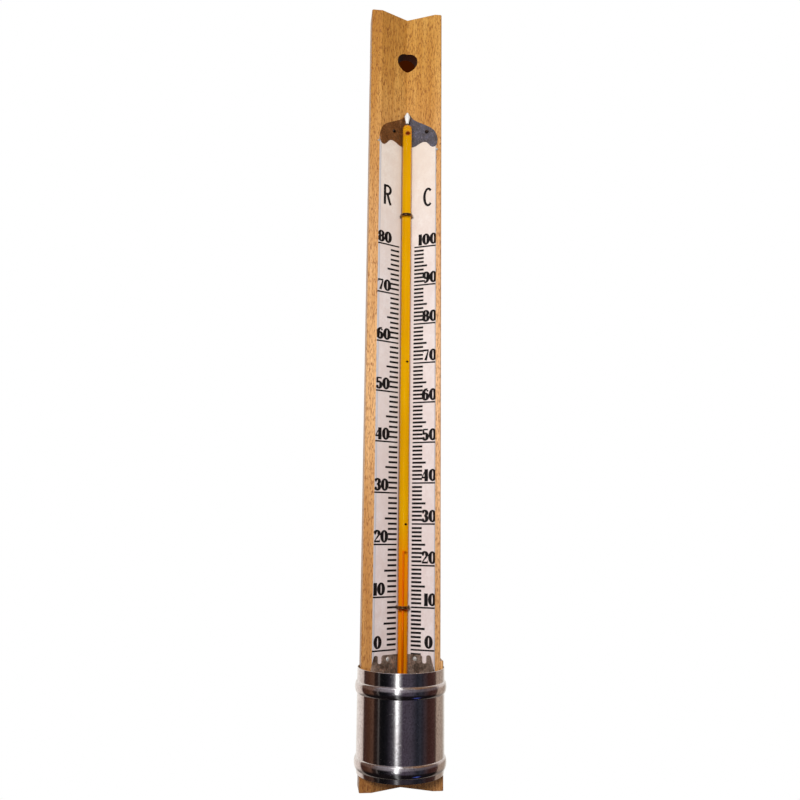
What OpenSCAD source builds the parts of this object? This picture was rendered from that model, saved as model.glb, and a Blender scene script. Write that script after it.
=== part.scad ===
// Hanging dairy thermometer: a beech board with a V groove carries a folded scale strip
// and a spirit-filled glass stem, and a round sheet-metal sleeve guards the bulb.
// Origin: on the axis of the hanging hole, in the plane of the flat back.
// +Z runs up the board, and the scale faces -Y.

/* [Board] */
// Width of the board
board_w = 36; // [35:0.5:42]
// Thickness of the board
board_t = 12; // [11:0.5:16]
// Length of the board
board_l = 377; // [372:1:420]
// Width of the V groove where it meets the front face
groove_w = 27.3; // [26:0.1:29]
// Depth of the V groove
groove_d = 6.9; // [5:0.1:7.5]
// How far the groove lies to the right of the board's middle
groove_shift = 1; // [0:0.1:1.5]
// Chamfer on the board's long outer edges
edge_ease = 0.5; // [0.2:0.1:1]
// How far the board's foot steps out on the right
foot_step = 1.35; // [0:0.05:2]
// Height of that step above the board's bottom end
foot_l = 55.2; // [53:0.1:58]

/* [Hanging hole] */
// Diameter of the hanging hole
hole_d = 10; // [6:0.5:12]
// Distance from the board's top end down to the hole's axis
hole_drop = 24.5; // [20:0.5:30]

/* [Scale] */
// Height of the zero mark above the board's bottom end
zero_rise = 59.7; // [59:0.1:66]
// Spacing of one degree Celsius at the zero mark
degree_pitch = 1.88; // [1.75:0.01:1.95]
// Growth of that spacing, in millimetres per degree squared
degree_growth = 0.00043; // [0:0.00001:0.0008]
// Highest temperature on the scale
scale_max = 100; // [90:1:105]
// Thickness of the scale strip
strip_t = 0.3; // [0.2:0.05:0.4]
// How far each edge of the strip laps over the flat beside the groove
strip_lap = 0.6; // [0.3:0.1:1]
// Length of the strip above the top mark
strip_above = 56; // [54:0.5:58]
// Length of the strip below the zero mark
strip_below = 10; // [9:0.5:11]

/* [Glass stem and bulb] */
// Outer diameter of the stem
stem_d = 4.75; // [4.2:0.05:5.2]
// Diameter of the bore
bore_d = 0.8; // [0.6:0.05:1]
// Height of the stem's rounded end above the top mark
stem_above = 64.4; // [60:0.2:66]
// Length of the drawn-off tip above the rounded end
tip_l = 7; // [4:0.5:8]
// Diameter of the tip's neck
tip_neck_d = 1.5; // [1:0.1:2]
// Diameter of the tip's bead
tip_bead_d = 2.8; // [2.2:0.1:3.4]
// Length of the wide chamber at the top of the bore
chamber_l = 5; // [3:0.5:8]
// Diameter of that chamber
chamber_d = 1.8; // [1.2:0.1:2.2]
// Thickness of the enamel band inside the stem
band_t = 0.35; // [0.2:0.05:0.5]
// Angle that the enamel band spans behind the bore
band_angle = 200; // [120:10:240]
// Glass between the enamel band and the stem's surface
band_cover = 0.3; // [0.2:0.05:0.4]
// Depth of the bulb's shoulder below the zero mark
bulb_drop = 15; // [14:0.5:17]
// Outer diameter of the bulb
bulb_d = 8.5; // [7:0.1:9.5]
// Length of the bulb
bulb_l = 30; // [24:1:32]
// Wall of the bulb
bulb_wall = 0.6; // [0.4:0.05:1]
// Temperature that the spirit shows at rest
reading = 23.5; // [0:0.5:90]
// Length of the curved top of the spirit column
meniscus_l = 0.8; // [0.5:0.1:1.5]

/* [Wire ties] */
// Diameter of the wire
wire_d = 0.7; // [0.3:0.05:0.8]
// Diameter of the holes that the wire passes through
wire_hole_d = 1; // [0.9:0.05:1.4]
// Height of the lower tie above the zero mark
lower_tie_rise = 18.9; // [12:0.1:30]
// Height of the upper tie above the top mark
upper_tie_rise = 15.8; // [12:0.1:30]
// Length of the twisted end at the back
twist_l = 7; // [4:0.5:10]

/* [Tin plates] */
// Thickness of both plates
plate_t = 0.3; // [0.2:0.05:0.4]
// Height of the top plate's lobes above the top mark
top_plate_rise = 51.9; // [50:0.1:53]
// Sideways offset of the top plate
top_plate_shift = 0.3; // [-0.5:0.1:0.5]
// Height of the top plate's peak above its lobes
top_plate_l = 20.4; // [18:0.2:24]
// Half width of the top plate at its widest
top_plate_half = 14.8; // [13:0.1:15.2]
// Depth of the slanted cut on the top plate's left shoulder
top_plate_left_cut = 0.9; // [0:0.1:2]
// Depth of the slanted cut on the top plate's right shoulder
top_plate_right_cut = 1.6; // [0:0.1:2.5]
// Depth of the bottom plate's tines below the zero mark
crown_drop = 2; // [1.5:0.1:3]
// Length of the bottom plate
crown_l = 10.3; // [9:0.1:10.5]
// Sideways offset of the bottom plate
crown_shift = -0.5; // [-0.5:0.1:0.5]
// Depth of the slots in the bottom plate
crown_slot_l = 3.7; // [2:0.1:5]
// Width of the slots in the bottom plate
crown_slot_w = 1.8; // [1:0.1:2]

/* [Nails] */
// Diameter of the plate nails' shanks
nail_d = 0.9; // [0.7:0.05:1.1]
// Diameter of the plate nails' heads
nail_head_d = 2; // [1.6:0.1:2.4]
// Length of the plate nails below the head
nail_l = 7; // [5:0.5:8]
// Diameter of the strip brads' shanks
brad_d = 0.6; // [0.5:0.05:0.7]
// Diameter of the strip brads' heads
brad_head_d = 1.3; // [1:0.1:1.4]
// Length of the strip brads below the head
brad_l = 6; // [4:0.5:8]

/* [Sleeve] */
// Length of the sleeve
sleeve_l = 45.3; // [42:0.1:48]
// Height of the sleeve's lower rim above the board's bottom end
sleeve_rise = 6.9; // [4:0.1:8]
// Thickness of the sheet
sleeve_wall = 0.35; // [0.25:0.05:0.6]
// Gap between the board's corners and the sleeve
sleeve_fit = 0.08; // [0.02:0.01:0.2]
// Width of the rolled beads
bead_w = 5.2; // [4:0.1:6]
// Height of the rolled beads
bead_h = 0.9; // [0.5:0.1:1.4]
// Distance from the upper rim down to the middle of the upper bead
upper_bead_drop = 8.4; // [6:0.1:10]
// Distance from the lower rim up to the middle of the lower bead
lower_bead_rise = 4.7; // [4.2:0.1:8]

/* [Hidden] */
$fn = 64;
cut = 1;
nail_gap = 0.02;
glass_gap = 0.02;
rest_gap = 0.03;
liquid_gap = 0.03;

// Heights and the groove's slope
board_top = hole_drop;
board_bottom = board_top - board_l;
board_mid_x = -groove_shift;
foot_w = board_w + foot_step;
foot_mid_x = board_mid_x + foot_step / 2;
groove_half = groove_w / 2;
groove_slope = atan(groove_d / groove_half);
zero_z = board_bottom + zero_rise;
function degree_z(t) = zero_z + degree_pitch * t + degree_growth * t * t;
top_mark_z = degree_z(scale_max);

// Stem and bulb places, worked out from the sheets that the stem rests on
stem_r = stem_d / 2;
bore_r = bore_d / 2;
valley_y = -board_t + groove_d;
stem_y = valley_y - (strip_t + plate_t + stem_r + rest_gap) / cos(groove_slope);
stem_bottom = zero_z - bulb_drop;
stem_top = top_mark_z + stem_above;
chamber_top = stem_top - 2 * stem_r;
band_r = stem_r - band_cover;
band_bottom = stem_bottom + 2;
band_top = stem_top - 0.6 * stem_r;
bulb_r = bulb_d / 2;
bulb_shoulder = 3.5;
trough_gap = 0.6;
trough_over = 2;
reading_z = degree_z(reading);

// Wire tie places
wire_r = wire_d / 2;
tie_x = stem_r + wire_r + rest_gap;
tie_back_y = -wire_r - 0.15;
turn_rise = wire_r + 0.015;
slot_h = 2 * wire_d + 0.9;
slot_depth = 2 * wire_d + 0.4;
lower_tie_z = zero_z + lower_tie_rise;
upper_tie_z = top_mark_z + upper_tie_rise;

// Heights on the top plate's outline, and the half widths of its lobes
peak_z = top_plate_l;
shoulder_z = 0.78 * peak_z;
side_z = 0.39 * peak_z;
lobe_lift = 1.4;
notch_z = 3.4;
peak_half = 4.2;
side_half = top_plate_half - 0.8;
lobe_half = side_half - 1.4;
notch_half = lobe_half - 4.5;
middle_lobe_half = 2.4;
top_nail_rise = shoulder_z - 7.3;

// Nail places: left and right nails sit unevenly, as they were driven by hand
top_nail_z = top_mark_z + top_plate_rise + top_nail_rise;
top_left_nail_x = -6.7;
top_right_nail_x = 9.6;
crown_z = zero_z - crown_drop;
crown_nail_z = crown_z - 1.9;
crown_left_nail_x = -6.7;
crown_right_nail_x = 5.6;
strip_top = top_mark_z + strip_above;
strip_bottom = zero_z - strip_below;
strip_half = groove_half + strip_lap;
brad_x = strip_half + brad_d / 2 + nail_gap;
left_brad_drop = 2.6;
right_brad_drop = 5.4;
left_brad_z = strip_top - left_brad_drop;
right_brad_z = strip_top - right_brad_drop;

// Sleeve
sleeve_in_r = norm([foot_w / 2, board_t / 2 - edge_ease]) + sleeve_fit;
sleeve_out_r = sleeve_in_r + sleeve_wall;
sleeve_bottom = board_bottom + sleeve_rise;
sleeve_top = sleeve_bottom + sleeve_l;

// Points of a circular arc, and of a cubic curve, for outlines
function arc(c, r, from, to, n = 8) =
    [for (i = [0:n]) let (a = from + (to - from) * i / n) c + r * [cos(a), sin(a)]];
function curve(a, b, c, d, n = 8) =
    [for (i = [0:n]) let (s = i / n, q = 1 - s)
        q * q * q * a + 3 * q * q * s * b + 3 * q * s * s * c + s * s * s * d];
// A half outline and its mirror image, as one closed outline
function both_sides(half) =
    concat(half, [for (i = [len(half) - 1:-1:0]) [-half[i][0], half[i][1]]]);

// Front face, as a depth along Y, of a sheet that lies h above the grooved wood at x
function land_y(h) = -board_t - h;
function slope_y(x, h) =
    -board_t + groove_d * (1 - abs(x) / groove_half) - h / cos(groove_slope);
function bend_x(h) =
    groove_half * (1 - h * (1 / cos(groove_slope) - 1) / groove_d);
function sheet_line(half_w, h) =
    [[-half_w, land_y(h)], [-bend_x(h), land_y(h)], [0, slope_y(0, h)],
     [bend_x(h), land_y(h)], [half_w, land_y(h)]];

// A folded sheet that follows the groove between two heights above the wood
module folded_sheet(half_w, low, high, bottom, top) {
    lower = sheet_line(half_w, low);
    upper = sheet_line(half_w, high);
    translate([0, 0, bottom])
        linear_extrude(top - bottom)
            polygon(concat(lower, [for (i = [len(upper) - 1:-1:0]) upper[i]]));
}

// Puts children on the groove's face at x and z, with +Z pointing out of the face
module on_slope(x, z, h) {
    translate([x, slope_y(x, h), z])
        rotate([0, 0, -groove_slope * sign(x)])
            rotate([90, 0, 0])
                children();
}

// A nail with a low domed head, its shank pointing down
module nail(shank_d, head_d, length) {
    head_h = head_d / 4;
    dome_r = (head_d * head_d / 4 + head_h * head_h) / (2 * head_h);
    dome_angle = asin(head_d / 2 / dome_r);
    rotate_extrude()
        polygon(concat(
            [[0, -length], [shank_d / 2, -length + shank_d], [shank_d / 2, 0]],
            arc([0, head_h - dome_r], dome_r, 90 - dome_angle, 90, 6)));
}

module nail_hole(shank_d, length) {
    translate([0, 0, -length - nail_gap])
        cylinder(r = shank_d / 2 + nail_gap, h = length + cut);
}

// Every nail's hole, drilled from the face of the outermost sheet
module all_nail_holes() {
    for (x = [top_left_nail_x, top_right_nail_x])
        on_slope(x, top_nail_z, strip_t + plate_t)
            nail_hole(nail_d, nail_l);
    for (x = [crown_left_nail_x, crown_right_nail_x])
        on_slope(x, crown_nail_z, strip_t + plate_t)
            nail_hole(nail_d, nail_l);
    for (place = [[-brad_x, left_brad_z], [brad_x, right_brad_z]])
        translate([place[0], land_y(strip_t), place[1]])
            rotate([90, 0, 0])
                nail_hole(brad_d, brad_l);
}

module wire_holes() {
    for (z = [lower_tie_z, upper_tie_z], side = [-1, 1], turn = [-1, 1])
        translate([side * tie_x, cut, z + turn * turn_rise])
            rotate([90, 0, 0])
                cylinder(d = wire_hole_d, h = board_t + 2 * cut);
}

// Slots in the back that hold the twisted ends of a tie below the surface
module tie_slot(z) {
    reach = tie_x + wire_hole_d / 2;
    translate([-reach, -slot_depth, z - slot_h / 2])
        cube([2 * reach, slot_depth + cut, slot_h]);
    translate([-slot_h / 2, -slot_depth, z - twist_l - slot_h / 2])
        cube([slot_h, slot_depth + cut, twist_l + slot_h / 2]);
}

// A length of grooved board between two edges
module grooved_board(left, right, length) {
    e = edge_ease;
    translate([0, 0, board_bottom])
        linear_extrude(length)
            polygon([
                [left + e, 0], [left, -e], [left, -board_t + e], [left + e, -board_t],
                [-groove_half, -board_t], [0, valley_y], [groove_half, -board_t],
                [right - e, -board_t], [right, -board_t + e], [right, -e], [right - e, 0]
            ]);
}

module backboard() {
    left = board_mid_x - board_w / 2;
    color("#d9a866")
        difference() {
            union() {
                grooved_board(left, left + board_w, board_l);
                grooved_board(left, left + foot_w, foot_l);
            }
            translate([0, cut, 0])
                rotate([90, 0, 0])
                    cylinder(d = hole_d, h = board_t + 2 * cut);
            translate([0, stem_y, stem_bottom - bulb_l - trough_over])
                cylinder(r = bulb_r + trough_gap, h = bulb_l + 2 * trough_over);
            wire_holes();
            tie_slot(lower_tie_z);
            tie_slot(upper_tie_z);
            all_nail_holes();
        }
}

module scale_strip() {
    color("#efe6e0")
        difference() {
            folded_sheet(strip_half, 0, strip_t, strip_bottom, strip_top);
            wire_holes();
            all_nail_holes();
        }
}

// The band's shape, grown by a gap so that it can also cut its own seat in the glass
module band_shape(gap) {
    start = 90 - band_angle / 2;
    translate([0, stem_y, band_bottom - gap])
        rotate([0, 0, start])
            rotate_extrude(angle = band_angle)
                translate([band_r - band_t - gap, 0])
                    square([band_t + 2 * gap, band_top - band_bottom + 2 * gap]);
}

module glass_stem() {
    bead_z = stem_top + tip_l - tip_bead_d * 0.9;
    color("#e8b13a", 0.5)
        difference() {
            translate([0, stem_y, 0])
                rotate_extrude()
                    polygon(concat(
                        [[0, stem_bottom], [stem_r, stem_bottom]],
                        arc([0, stem_top - stem_r], stem_r, 0, 90 - asin(tip_neck_d / stem_d), 10),
                        curve([tip_neck_d / 2, stem_top + 0.4], [tip_neck_d / 2, stem_top + 1.5],
                              [tip_bead_d / 2, bead_z - 2], [tip_bead_d / 2, bead_z]),
                        curve([tip_bead_d / 2, bead_z], [tip_bead_d / 2, bead_z + 1.2],
                              [0.5, stem_top + tip_l - 0.6], [0, stem_top + tip_l])));
            translate([0, stem_y, stem_bottom - cut])
                cylinder(r = bore_r, h = chamber_top - stem_bottom + cut);
            translate([0, stem_y, chamber_top - chamber_l])
                cylinder(d = chamber_d, h = chamber_l);
            band_shape(glass_gap);
        }
}

module enamel_band() {
    color("#f0a51e")
        difference() {
            band_shape(0);
        }
}

// Half profile of the bulb, set in from its outer surface and cut off at the stem
function bulb_profile(inset, neck_r) =
    let (r = bulb_r - inset)
    concat(
        arc([0, stem_bottom - bulb_l + bulb_r], r, -90, 0, 12),
        curve([r, stem_bottom - bulb_shoulder], [r, stem_bottom - bulb_shoulder / 3],
              [neck_r, stem_bottom - bulb_shoulder / 2], [neck_r, stem_bottom]));

module glass_bulb() {
    color("#f3d9c4", 0.45)
        translate([0, stem_y, 0])
            rotate_extrude()
                polygon(concat(
                    bulb_profile(0, stem_r),
                    [for (i = [21:-1:0]) bulb_profile(bulb_wall, bore_r)[i]]));
}

module bulb_spirit() {
    color("#c22a12")
        translate([0, stem_y, 0])
            rotate_extrude()
                polygon(concat(
                    bulb_profile(bulb_wall + liquid_gap, bore_r - liquid_gap),
                    [[0, stem_bottom]]));
}

module spirit_column() {
    color("#d3300f")
        translate([0, stem_y, stem_bottom])
            cylinder(r = bore_r - liquid_gap, h = reading_z - meniscus_l - stem_bottom, $fn = 24);
}

// The moving top of the spirit, with its hollow surface
module spirit_meniscus() {
    r = bore_r - liquid_gap;
    color("#d3300f")
        translate([0, stem_y, reading_z - meniscus_l])
            rotate_extrude($fn = 24)
                polygon(concat(
                    [[0, 0], [r, 0], [r, meniscus_l]],
                    arc([0, meniscus_l + r / 2], r * 1.118, -26.6, -90, 6)));
}

// One turn of wire: a half ring over the glass, two legs and a bar behind the board
module wire_turn() {
    leg_l = tie_back_y - stem_y;
    translate([0, stem_y, 0])
        rotate([0, 0, 180])
            rotate_extrude(angle = 180)
                translate([tie_x, 0])
                    circle(r = wire_r, $fn = 24);
    for (side = [-1, 1]) {
        translate([side * tie_x, tie_back_y, 0])
            rotate([90, 0, 0])
                cylinder(r = wire_r, h = leg_l, $fn = 24);
        translate([side * tie_x, tie_back_y, 0])
            sphere(r = wire_r, $fn = 24);
    }
    translate([-tie_x, tie_back_y, 0])
        rotate([0, 90, 0])
            cylinder(r = wire_r, h = 2 * tie_x, $fn = 24);
}

module wire_tie(z) {
    color("#b9b4ab")
        translate([0, 0, z]) {
            for (turn = [-1, 1])
                translate([0, 0, turn * turn_rise])
                    wire_turn();
            translate([0, -slot_depth + wire_d + 0.1, -twist_l])
                cylinder(r = wire_r * 1.8, h = twist_l + turn_rise, $fn = 24);
        }
}

module upper_wire_tie() {
    wire_tie(upper_tie_z);
}

module lower_wire_tie() {
    wire_tie(lower_tie_z);
}

// Outline of the top plate: a peak over the stem, sloping shoulders and three lobes
module top_plate_outline() {
    lobe_z = top_mark_z + top_plate_rise;
    left = [for (p = top_plate_side(top_plate_left_cut)) [-p[0], p[1]]];
    translate([top_plate_shift, lobe_z])
        polygon(concat(
            top_plate_side(top_plate_right_cut), [for (i = [len(left) - 1:-1:0]) left[i]]));
}

// One side of that outline, from the peak down to the middle lobe
function top_plate_side(cut_d) =
    concat(
        curve([0, peak_z], [1.5, peak_z - 0.2],
              [1.3, shoulder_z + 1.3], [peak_half, shoulder_z - cut_d / 3]),
        curve([peak_half, shoulder_z - cut_d / 3], [peak_half + 2.8, shoulder_z - 2 - cut_d / 2],
              [side_half - 0.8, shoulder_z - 2.4 - 2 * cut_d], [side_half, side_z - cut_d]),
        curve([side_half, side_z - cut_d], [side_half + 1, side_z - 3.4],
              [lobe_half + 2, 0], [lobe_half, 0]),
        curve([lobe_half, 0], [lobe_half - 1.9, 0],
              [notch_half + 2.2, notch_z], [notch_half, notch_z]),
        curve([notch_half, notch_z], [notch_half - 2.2, notch_z],
              [middle_lobe_half + 2.4, lobe_lift], [middle_lobe_half, lobe_lift]));

// Outline of the bottom plate: a wide lobe, a slot and a tine on each side
module bottom_plate_outline() {
    lobe_x = 9.3;
    tine_w = 1.9;
    foot_x = 14.8;
    corner_r = 1.1;
    slot_r = crown_slot_w / 2;
    tine_x = lobe_x + crown_slot_w;
    tine_r = 0.85;
    translate([crown_shift, crown_z])
        polygon(both_sides(concat(
            arc([lobe_x - corner_r, -corner_r], corner_r, 90, 0, 5),
            arc([lobe_x + slot_r, -crown_slot_l + slot_r], slot_r, 180, 360, 8),
            arc([tine_x + tine_r, -tine_r], tine_r, 180, 90, 4),
            arc([tine_x + tine_w - tine_r, -tine_r], tine_r, 90, 15, 4),
            [[foot_x, -crown_l * 0.75], [foot_x, -crown_l]])));
}

// A plate bent to the groove: a folded sheet on top of the strip, trimmed to an outline
module bent_plate(bottom, top) {
    difference() {
        intersection() {
            folded_sheet(groove_half + 3, strip_t, strip_t + plate_t, bottom, top);
            rotate([90, 0, 0])
                linear_extrude(2 * board_t)
                    children();
        }
        all_nail_holes();
    }
}

module top_plate() {
    color("#6d6157")
        bent_plate(strip_top - 2 * strip_above, stem_top + 4 * tip_l)
            top_plate_outline();
}

module bottom_plate() {
    color("#6a625b")
        bent_plate(crown_z - 2 * crown_l, crown_z + crown_l)
            bottom_plate_outline();
}

module plate_nail(x, z) {
    color("#8d8780")
        on_slope(x, z, strip_t + plate_t)
            nail(nail_d, nail_head_d, nail_l);
}

module top_plate_left_nail() {
    plate_nail(top_left_nail_x, top_nail_z);
}

module top_plate_right_nail() {
    plate_nail(top_right_nail_x, top_nail_z);
}

module bottom_plate_left_nail() {
    plate_nail(crown_left_nail_x, crown_nail_z);
}

module bottom_plate_right_nail() {
    plate_nail(crown_right_nail_x, crown_nail_z);
}

// A brad beside the strip whose head laps over the strip's corner
module strip_brad(x, z) {
    color("#c9c4bc")
        translate([x, land_y(strip_t), z])
            rotate([90, 0, 0])
                nail(brad_d, brad_head_d, brad_l);
}

module strip_left_brad() {
    strip_brad(-brad_x, left_brad_z);
}

module strip_right_brad() {
    strip_brad(brad_x, right_brad_z);
}

// Points of one rolled bead on a wall of radius r, from low to high
function bead_points(r, z) =
    let (round_r = (bead_w * bead_w / 4 + bead_h * bead_h) / (2 * bead_h),
         half_angle = asin(bead_w / 2 / round_r))
    arc([r + bead_h - round_r, z], round_r, -half_angle, half_angle, 12);

function sleeve_wall_line(r) =
    concat([[r, sleeve_bottom]],
           bead_points(r, sleeve_bottom + lower_bead_rise),
           bead_points(r, sleeve_top - upper_bead_drop),
           [[r, sleeve_top]]);

module bulb_sleeve() {
    inner = sleeve_wall_line(sleeve_in_r);
    color("#8f9196")
        translate([foot_mid_x, -board_t / 2, 0])
            rotate_extrude($fn = 128)
                polygon(concat(
                    sleeve_wall_line(sleeve_out_r),
                    [for (i = [len(inner) - 1:-1:0]) inner[i]]));
}

backboard();
scale_strip();
glass_stem();
enamel_band();
glass_bulb();
bulb_spirit();
spirit_column();
spirit_meniscus();
upper_wire_tie();
lower_wire_tie();
top_plate();
top_plate_left_nail();
top_plate_right_nail();
bottom_plate();
bottom_plate_left_nail();
bottom_plate_right_nail();
strip_left_brad();
strip_right_brad();
bulb_sleeve();
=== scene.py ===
"""Looks of a hanging dairy thermometer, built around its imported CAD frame."""

from math import atan2, cos, degrees, hypot, pi, radians, sin, sqrt

import bmesh
import bpy
from bpy.props import FloatProperty, FloatVectorProperty, PointerProperty
from mathutils import Matrix, Vector


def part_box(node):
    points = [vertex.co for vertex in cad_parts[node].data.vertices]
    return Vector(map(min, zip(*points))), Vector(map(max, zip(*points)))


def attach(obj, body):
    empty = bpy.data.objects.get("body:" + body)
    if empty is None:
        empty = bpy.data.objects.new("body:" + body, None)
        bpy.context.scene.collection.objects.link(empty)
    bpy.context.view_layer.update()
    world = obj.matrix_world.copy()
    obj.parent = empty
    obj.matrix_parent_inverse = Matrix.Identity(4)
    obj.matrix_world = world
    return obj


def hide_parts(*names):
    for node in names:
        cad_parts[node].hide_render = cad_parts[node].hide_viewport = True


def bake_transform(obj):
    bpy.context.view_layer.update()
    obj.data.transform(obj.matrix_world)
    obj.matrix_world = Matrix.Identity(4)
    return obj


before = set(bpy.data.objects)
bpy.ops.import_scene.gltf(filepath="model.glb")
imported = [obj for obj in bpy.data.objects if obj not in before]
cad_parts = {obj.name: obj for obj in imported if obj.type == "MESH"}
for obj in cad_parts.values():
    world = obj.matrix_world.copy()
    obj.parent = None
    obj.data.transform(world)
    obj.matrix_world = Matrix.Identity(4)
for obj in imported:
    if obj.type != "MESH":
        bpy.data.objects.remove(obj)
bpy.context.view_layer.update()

bl_info = {
    "name": "Dairy Thermometer",
    "version": (1, 0, 0),
    "blender": (4, 5, 0),
    "location": "View3D > Sidebar > Thermometer",
    "description": "Dresses the CAD frame of a hanging dairy thermometer",
    "category": "Add Mesh",
}

MM = 0.001
BODY = "thermometer"
LEFT, RIGHT = -1, 1

# Places taken from the frame
BOARD_LOW, BOARD_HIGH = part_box("backboard")
STRIP_LOW, STRIP_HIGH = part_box("scale_strip")
STEM_LOW, STEM_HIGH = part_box("glass_stem")
BAND_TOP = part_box("enamel_band")[1].z
COLUMN_LOW, COLUMN_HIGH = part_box("spirit_column")
SLEEVE_LOW, SLEEVE_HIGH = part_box("bulb_sleeve")
STEM_AXIS = (STEM_LOW + STEM_HIGH) / 2
STEM_RADIUS = (STEM_HIGH.x - STEM_LOW.x) / 2
SLEEVE_AXIS = (SLEEVE_LOW + SLEEVE_HIGH) / 2
SLEEVE_BEAD_RADIUS = (SLEEVE_HIGH.y - SLEEVE_LOW.y) / 2

# Heights between which a look sets in, from none of it to all of it
AMBER_WOOD = (-0.12, 0.01)
DARKER_LOW_WOOD = (-0.2, -0.33)
# Heights of the painted shadow of the sleeve on the board's foot
SLEEVE_SHADOW_WOOD = (-0.343, -0.347)
YELLOWED_STRIP = (-0.13, -0.045)
# Heights of the painted shade on the strip's lower part
LOWER_STRIP_SHADE = (-0.13, -0.25)
# Heights over which the painted shadow beside the stem thins out
THINNER_STEM_SHADE = (-0.24, -0.28)
ORANGE_ENAMEL = (-0.225, -0.265)
DIM_SIDES = (-0.14, -0.2)
CLEARER_SIDES = (-0.235, -0.265)
DIM_RIGHT = (-0.24, -0.28)
FLAW_HEIGHTS = (-0.1585, -0.2362)


def length(name, default_mm, description):
    """A size in millimetres as a property in metres."""
    return FloatProperty(
        name=name, description=description, default=default_mm * MM, unit="LENGTH", precision=5
    )


def spot(name, default_mm, description):
    """A place in millimetres as a property in metres."""
    return FloatVectorProperty(name=name, description=description, subtype="TRANSLATION",
                               default=[c * MM for c in default_mm], unit="LENGTH", precision=5)


def share(name, default, description):
    """A plain number from nothing to one."""
    return FloatProperty(name=name, description=description, default=default, subtype="FACTOR")


def colour(name, default, description):
    """A linear colour."""
    return FloatVectorProperty(
        name=name, description=description, default=default, size=3, subtype="COLOR", min=0
    )


class BoardLook(bpy.types.PropertyGroup):
    pale: colour("Pale wood", (0.93, 0.58, 0.29), "Wood between the grain lines")
    deep: colour("Deep wood", (0.74, 0.39, 0.145), "Wood in the darker bands")
    fleck: colour("Fleck", (0.30, 0.10, 0.03), "Short dark flecks of beech")
    # The hole wall colour is painted shade on the wall of the hanging hole, out to the given
    # radius
    bore: colour("Hole wall", (0.042, 0.006, 0.0003), "Stained wall of the hanging hole")
    bore_radius: length("Stained radius", 5.12, "Reach of the stain around the hole's axis")
    gloss_roughness: share("Roughness", 0.42, "Roughness of the varnish")


class StripLook(bpy.types.PropertyGroup):
    enamel: colour("Enamel", (0.86, 0.77, 0.75), "Cream enamel of the scale strip")
    warm: colour("Aged enamel", (0.93, 0.825, 0.735), "Yellowed enamel near the top")
    bare: colour("Bare edge", (0.40, 0.41, 0.45), "Bare metal along the strip's edges")
    # Ends of the painted shadow in the fold at the stem's left side
    grime_start: length("Grime start", -2.75, "Left edge of the grime in the fold")
    grime_end: length("Grime end", -1.2, "Right edge of the grime, under the stem")
    edge_start: length("Edge start", 13.45, "Distance of the bare edges from their middle")
    edge_middle: length("Edge middle", 0.25, "Middle between the bare edges")
    groove_width: length("Groove width", 27.3, "Width of the groove under the strip")
    groove_depth: length("Groove depth", 6.9, "Depth of the groove under the strip")
    thickness: length("Thickness", 0.3, "Thickness of the strip")


class PrintLook(bpy.types.PropertyGroup):
    ink: colour("Ink", (0.004, 0.003, 0.003), "Black printing")
    lift: length("Lift", 0.012, "Height of the ink above the enamel")
    thickness: length("Thickness", 0.02, "Thickness of the ink")
    below_zero: length("Below zero", 10, "Strip below the zero marks")
    above_top: length("Above top", 56, "Strip above the top marks")
    growth: length("Growth", 0.00043, "Growth of a degree's length towards the top")
    left_inner: length("Left inner end", -2.96, "Inner ends of the left marks")
    right_inner: length("Right inner end", 3.85, "Inner ends of the right marks")
    spread: length("Spread", 0.35, "Widening of the gap beside the stem towards the top")
    left_outer: length("Left outer end", -14.3, "Outer ends of the left ten-degree lines")
    right_outer: length("Right outer end", 14.1, "Outer ends of the right ten-degree lines")
    one_degree: length("One degree", 4.4, "Length of a one-degree mark")
    five_degrees: length("Five degrees", 6, "Length of a five-degree mark")
    mark_width: length("Mark width", 0.98, "Width of the short marks")
    line_width: length("Line width", 0.74, "Width of the ten-degree lines")
    number_rise: length("Number rise", 0.95, "Gap between a line and its number")
    number_gap: length("Number gap", 0.3, "Gap between two digits")
    digit_height: length("Digit height", 5.5, "Height of the digits")
    squeeze: share("Squeeze", 0.94, "Narrowing of the numbers on the right")
    left_number: length("Left numbers", 0.1, "Left numbers inside their line's outer end")
    right_number: length("Right numbers", 0.5, "Right numbers beyond their line's outer end")
    left_zero: length("Left zero", 0.8, "Left zero further in than its column's numbers")
    right_zero: length("Right zero", 1.5, "Right zero further in than its column's numbers")
    stem_width: length("Stem width", 1.66, "Thick strokes of the digits")
    hair_width: length("Hair width", 0.86, "Thin strokes of the digits")
    letter_width: length("Letter stroke", 1.2, "Strokes of the two unit letters")
    letter_rise: length("Letter rise", 20.5, "Height of the unit letters above the top marks")
    left_letter: length("Left letter", -11.55, "Left edge of the left unit letter")
    right_letter: length("Right letter", 8.3, "Left edge of the right unit letter")
    right_lift: length("Right lift", 0.2, "How much higher the right unit letter stands")


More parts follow.
